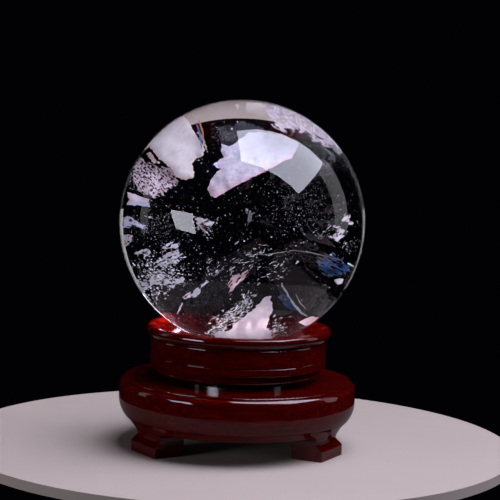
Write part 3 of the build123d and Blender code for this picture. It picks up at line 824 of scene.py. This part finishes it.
        "outline": [(22, -39.8), (24, -38.4), (28, -37.4), (31.1, -38.1), (29.4, -39.8), (27, -41.5),
                    (25, -41.5), (24, -40.5)],
        "tones": [white, palePink], "depth": (5, 0.5, 0.0), "seed": 21, "ragged": 0.35}),
    "midFlake": (veil, {
        "outline": [(-19.4, 2.6), (-16.3, 1.9), (-13.6, 1.2), (-10.3, -0.1), (-12.6, -1.7), (-14, -1.1),
                    (-16.3, -0.4), (-18, 0.5)],
        "tones": [(0.62, 0.48, 0.52), white], "cell": 0.2, "depth": (9, 0.5, 0.0), "seed": 22,
        "ragged": 0.5, "tear": 0.4}),
    "midStroke": (veil, {
        "outline": band([(-17.4, -0.4), (-15.6, -2.2), (-14, -3.7)], 0.8),
        "tones": [rose, rose], "cell": 0.2, "depth": (9, 0.5, 0.0), "seed": 75, "ragged": 0.3,
        "tear": 0.2}),
    "greyWisp": (veil, {
        "outline": [(1.8, 5.6), (2.8, 4.6), (3.5, 3.2), (5.5, 4.3), (4.1, 2.2), (2.8, 0.2), (1.8, -1.1),
                    (2.3, 1.9)],
        "tones": [(0.05, 0.05, 0.06), (0.17, 0.17, 0.18)], "cell": 0.15, "depth": (12, 0.5, 0.0),
        "seed": 29, "ragged": 1.0, "tear": 0.55, "turn": 80, "stretch": 4, "scale": 1.6}),
    "topMottle": (veil, {
        "outline": [(9.2, 48), (12.6, 47.4), (17.9, 45.7), (22.6, 44), (27, 41.3), (31.4, 37.6),
                    (35.5, 33.9), (38.5, 30.2), (36.1, 28.8), (32.8, 29.9), (30.4, 30.2), (28.4, 32.2),
                    (24.7, 35.6), (19.3, 36.6), (15.9, 35.9), (11.9, 36.9), (11.9, 40.6), (9.2, 43.3)],
        "tones": [(0.24, 0.20, 0.23), (0.34, 0.28, 0.32), (0.30, 0.24, 0.28)], "cell": 0.2,
        "depth": (3, 0.2, 0.0), "seed": 30, "ragged": 2.0, "tear": 0.62, "turn": -35, "stretch": 2.5,
        "scale": 0.9, "mottle": 0.5}),
}
for name, (material, look) in sheets.items():
    makeSheet(name, look, material)
print("veils made")

flakes = [
    {"at": (-34.6, -17.7), "spread": (13, 6), "turn": 5, "count": 420, "size": (0.25, 1.5),
     "depth": (3, 12), "slim": 0.5, "seed": 31},
    {"at": (-33, -21.5), "spread": (10, 3), "turn": 5, "count": 240, "size": (0.25, 1.2), "depth": (3, 12),
     "slim": 0.5, "seed": 32},
    {"at": (-5.8, -38.4), "spread": (12, 3.6), "turn": 42, "count": 420, "size": (0.3, 2.2),
     "depth": (3, 14), "slim": 0.35, "seed": 33},
    {"at": (13.7, -41.7), "spread": (4, 4), "turn": 40, "count": 140, "size": (0.3, 1.8), "depth": (3, 9),
     "slim": 0.4, "seed": 34},
    {"at": (1.5, -31.5), "spread": (5, 2.4), "turn": 60, "count": 90, "size": (0.4, 2.4), "depth": (4, 10),
     "slim": 0.28, "seed": 35},
    {"at": (-34.6, -28.7), "spread": (6, 3), "turn": 30, "count": 110, "size": (0.3, 1.6), "depth": (3, 9),
     "slim": 0.4, "seed": 36},
    {"at": (-43, 17), "spread": (4, 8), "turn": 60, "count": 190, "size": (0.25, 0.9), "depth": (3, 9),
     "slim": 0.6, "seed": 37},
    {"at": (2, -14.5), "spread": (9, 4.5), "turn": 32, "count": 90, "size": (0.3, 2.4), "depth": (5, 16),
     "slim": 0.2, "seed": 38, "shade": (0.15, 0.6)},
    {"at": (14, -17), "spread": (12, 6), "turn": 20, "count": 70, "size": (0.3, 1.8), "depth": (5, 20),
     "slim": 0.3, "seed": 45, "shade": (0.15, 0.7)},
    {"at": (-14, -2), "spread": (5, 4), "turn": -35, "count": 80, "size": (0.3, 1.2), "depth": (5, 12),
     "slim": 0.5, "seed": 39},
    {"at": (-11, -19), "spread": (4, 4), "turn": 50, "count": 50, "size": (0.3, 1.6), "depth": (5, 12),
     "slim": 0.3, "seed": 46},
    {"at": (32, -4), "spread": (8, 3), "turn": 25, "count": 50, "size": (0.3, 2.0), "depth": (4, 12),
     "slim": 0.25, "seed": 47, "shade": (0.15, 0.6)},
    {"at": (42, -9), "spread": (5, 5), "turn": -30, "count": 70, "size": (0.25, 1.2), "depth": (2, 6),
     "slim": 0.4, "seed": 48, "shade": (0.2, 0.7)},
]
specks = [
    {"at": (0, 0), "spread": (48, 48), "count": 1100, "size": (0.12, 0.5), "depth": (3, 60), "slim": 0.8,
     "seed": 41, "wander": 90, "shade": (0.1, 0.7)},
    {"at": (25.5, 5), "spread": (16, 14), "count": 700, "size": (0.12, 0.42), "depth": (4, 30),
     "slim": 0.8, "seed": 42, "wander": 90, "shade": (0.05, 0.38), "tone": (1, 0.96, 0.96)},
    {"at": (-5.8, 33.9), "spread": (5, 2.6), "count": 220, "size": (0.12, 0.35), "depth": (4, 9),
     "slim": 0.8, "seed": 43, "wander": 90, "shade": (0.15, 0.6)},
    {"at": (-34, -2), "spread": (14, 10), "count": 620, "size": (0.12, 0.5), "depth": (4, 20), "slim": 0.8,
     "seed": 44, "wander": 90, "shade": (0.1, 0.7)},
    {"at": (-16, -27), "spread": (22, 14), "count": 900, "size": (0.12, 0.35), "depth": (4, 30),
     "slim": 0.8, "seed": 49, "wander": 90, "shade": (0.03, 0.22), "tone": (0.9, 0.88, 1)},
    {"at": (30, -30), "spread": (9, 8), "count": 320, "size": (0.12, 0.4), "depth": (3, 14), "slim": 0.8,
     "seed": 50, "wander": 90, "shade": (0.05, 0.4)},
]
makeFlecks("flakes", flakes, veil)
makeFlecks("specks", specks, veil)
print("flakes and specks made")
